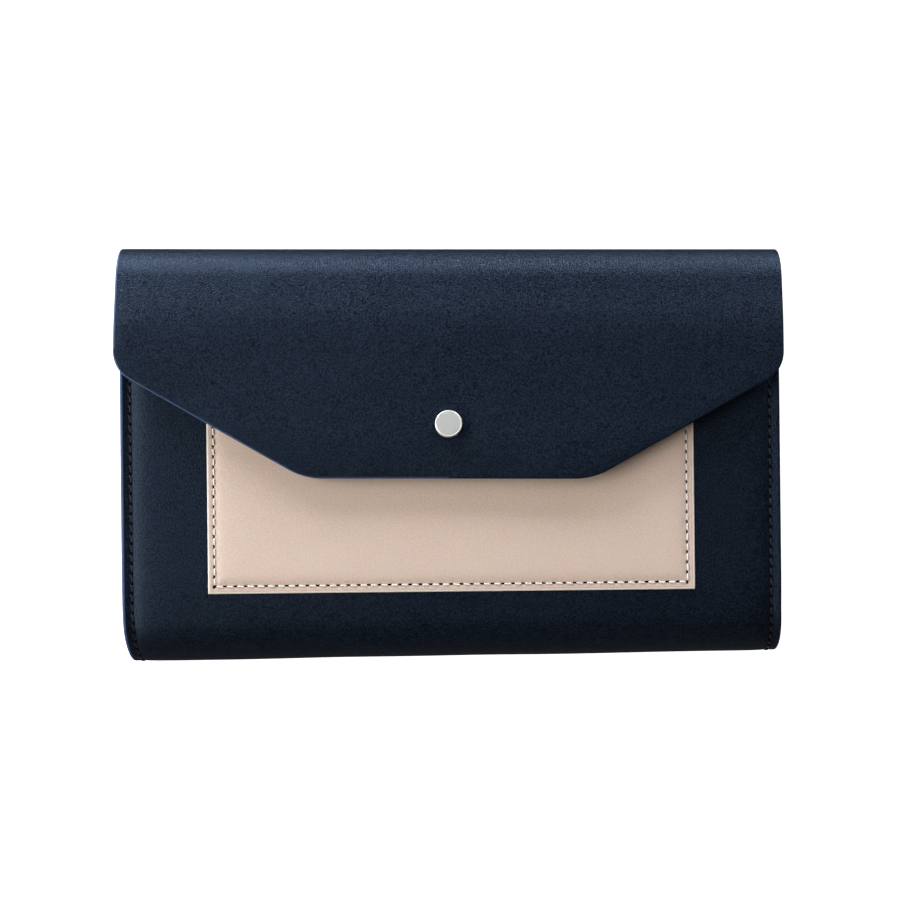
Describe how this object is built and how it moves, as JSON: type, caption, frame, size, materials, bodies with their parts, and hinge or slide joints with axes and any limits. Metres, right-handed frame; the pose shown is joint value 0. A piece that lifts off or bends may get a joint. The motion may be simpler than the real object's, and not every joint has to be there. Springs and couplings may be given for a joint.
{
  "type": "long wallet",
  "caption": "Envelope-style long leather wallet with a snap-closed tapered flap, a sewn patch pocket on the front, bill compartments, card slots and a zipped coin pocket.",
  "frame": {"origin": "centre of the wallet's footprint, on the plane its back rests on", "axes": "+X along the wallet's width, +Y from the bottom fold to the top fold where the flap hinges, +Z out of the front face"},
  "size_m": [0.2, 0.124, 0.0289],
  "materials": {
    "navy_leather": "satin",
    "blush_leather": "satin",
    "navy_lining": "matt",
    "backing_board": "matt",
    "navy_thread": "waxed",
    "blush_thread": "waxed",
    "satin_nickel": "satin nickel",
    "zip_metal": "satin nickel",
    "zip_tape": "matt"
  },
  "bodies": {
    "back": {"back_panel": "navy_leather", "back_backing": "backing_board", "back_lining": "navy_lining", "card_slot_1": "blush_leather", "card_slot_2": "blush_leather", "card_slot_3": "blush_leather", "card_slot_4": "blush_leather", "card_slot_stitches": "blush_thread", "back_gusset_left": "navy_leather", "back_gusset_right": "navy_leather", "back_seam_stitches": "navy_thread"},
    "spine": {"spine_panel": "navy_leather", "spine_lining": "navy_lining"},
    "flap": {"flap_panel": "navy_leather", "flap_lining": "navy_lining", "snap_cap": "satin_nickel", "snap_socket": "satin_nickel", "snap_spring": "satin_nickel"},
    "front": {"front_panel": "navy_leather", "front_backing": "backing_board", "front_lining": "navy_lining", "bill_sleeve": "blush_leather", "patch_pocket": "blush_leather", "patch_stitches": "blush_thread", "front_seam_stitches": "navy_thread", "snap_stud": "satin_nickel", "snap_rivet": "satin_nickel"},
    "coin_pocket": {"coin_pocket_back": "blush_leather", "coin_pocket_front": "blush_leather", "coin_pocket_lining": "navy_lining", "coin_pocket_stitches": "blush_thread", "zip_tape_back": "zip_tape", "zip_tape_front": "zip_tape", "zip_teeth_back": "zip_metal", "zip_teeth_front": "zip_metal", "zip_stops": "zip_metal", "front_gusset_left": "navy_leather", "front_gusset_right": "navy_leather"},
    "zip_slider": {"zip_slider": "zip_metal"},
    "zip_pull": {"zip_pull": "zip_metal"}
  },
  "joints": [
    {"name": "spine_fold", "type": "hinge", "parent": "back", "child": "spine", "pos_m": [0, 0.05966, 0.00234], "axis": [-1, 0, 0], "range_deg": [0, 85]},
    {"name": "flap_fold", "type": "hinge", "parent": "spine", "child": "flap", "pos_m": [0, 0.05933, 0.01665], "axis": [-1, 0, 0], "range_deg": [0, 85]},
    {"name": "front_fan", "type": "hinge", "parent": "back", "child": "front", "pos_m": [0, -0.062, 0.005], "axis": [1, 0, 0], "range_deg": [0, 12]},
    {"name": "pocket_fan", "type": "hinge", "parent": "back", "child": "coin_pocket", "pos_m": [0, -0.062, 0.005], "axis": [1, 0, 0], "range_deg": [0, 6]},
    {"name": "zip_slide", "type": "slide", "parent": "coin_pocket", "child": "zip_slider", "axis": [1, 0, 0], "range_m": [-0.132, 0]},
    {"name": "pull_swing", "type": "hinge", "parent": "zip_slider", "child": "zip_pull", "pos_m": [0.066, 0.0448, 0.0105], "axis": [0, 0, -1], "range_deg": [0, 180]}
  ],
  "couplings": [
    {"joint": "flap_fold", "follows": "spine_fold", "ratio": 1},
    {"joint": "front_fan", "follows": "spine_fold", "ratio": 0.1333},
    {"joint": "pocket_fan", "follows": "spine_fold", "ratio": 0.06665}
  ]
}
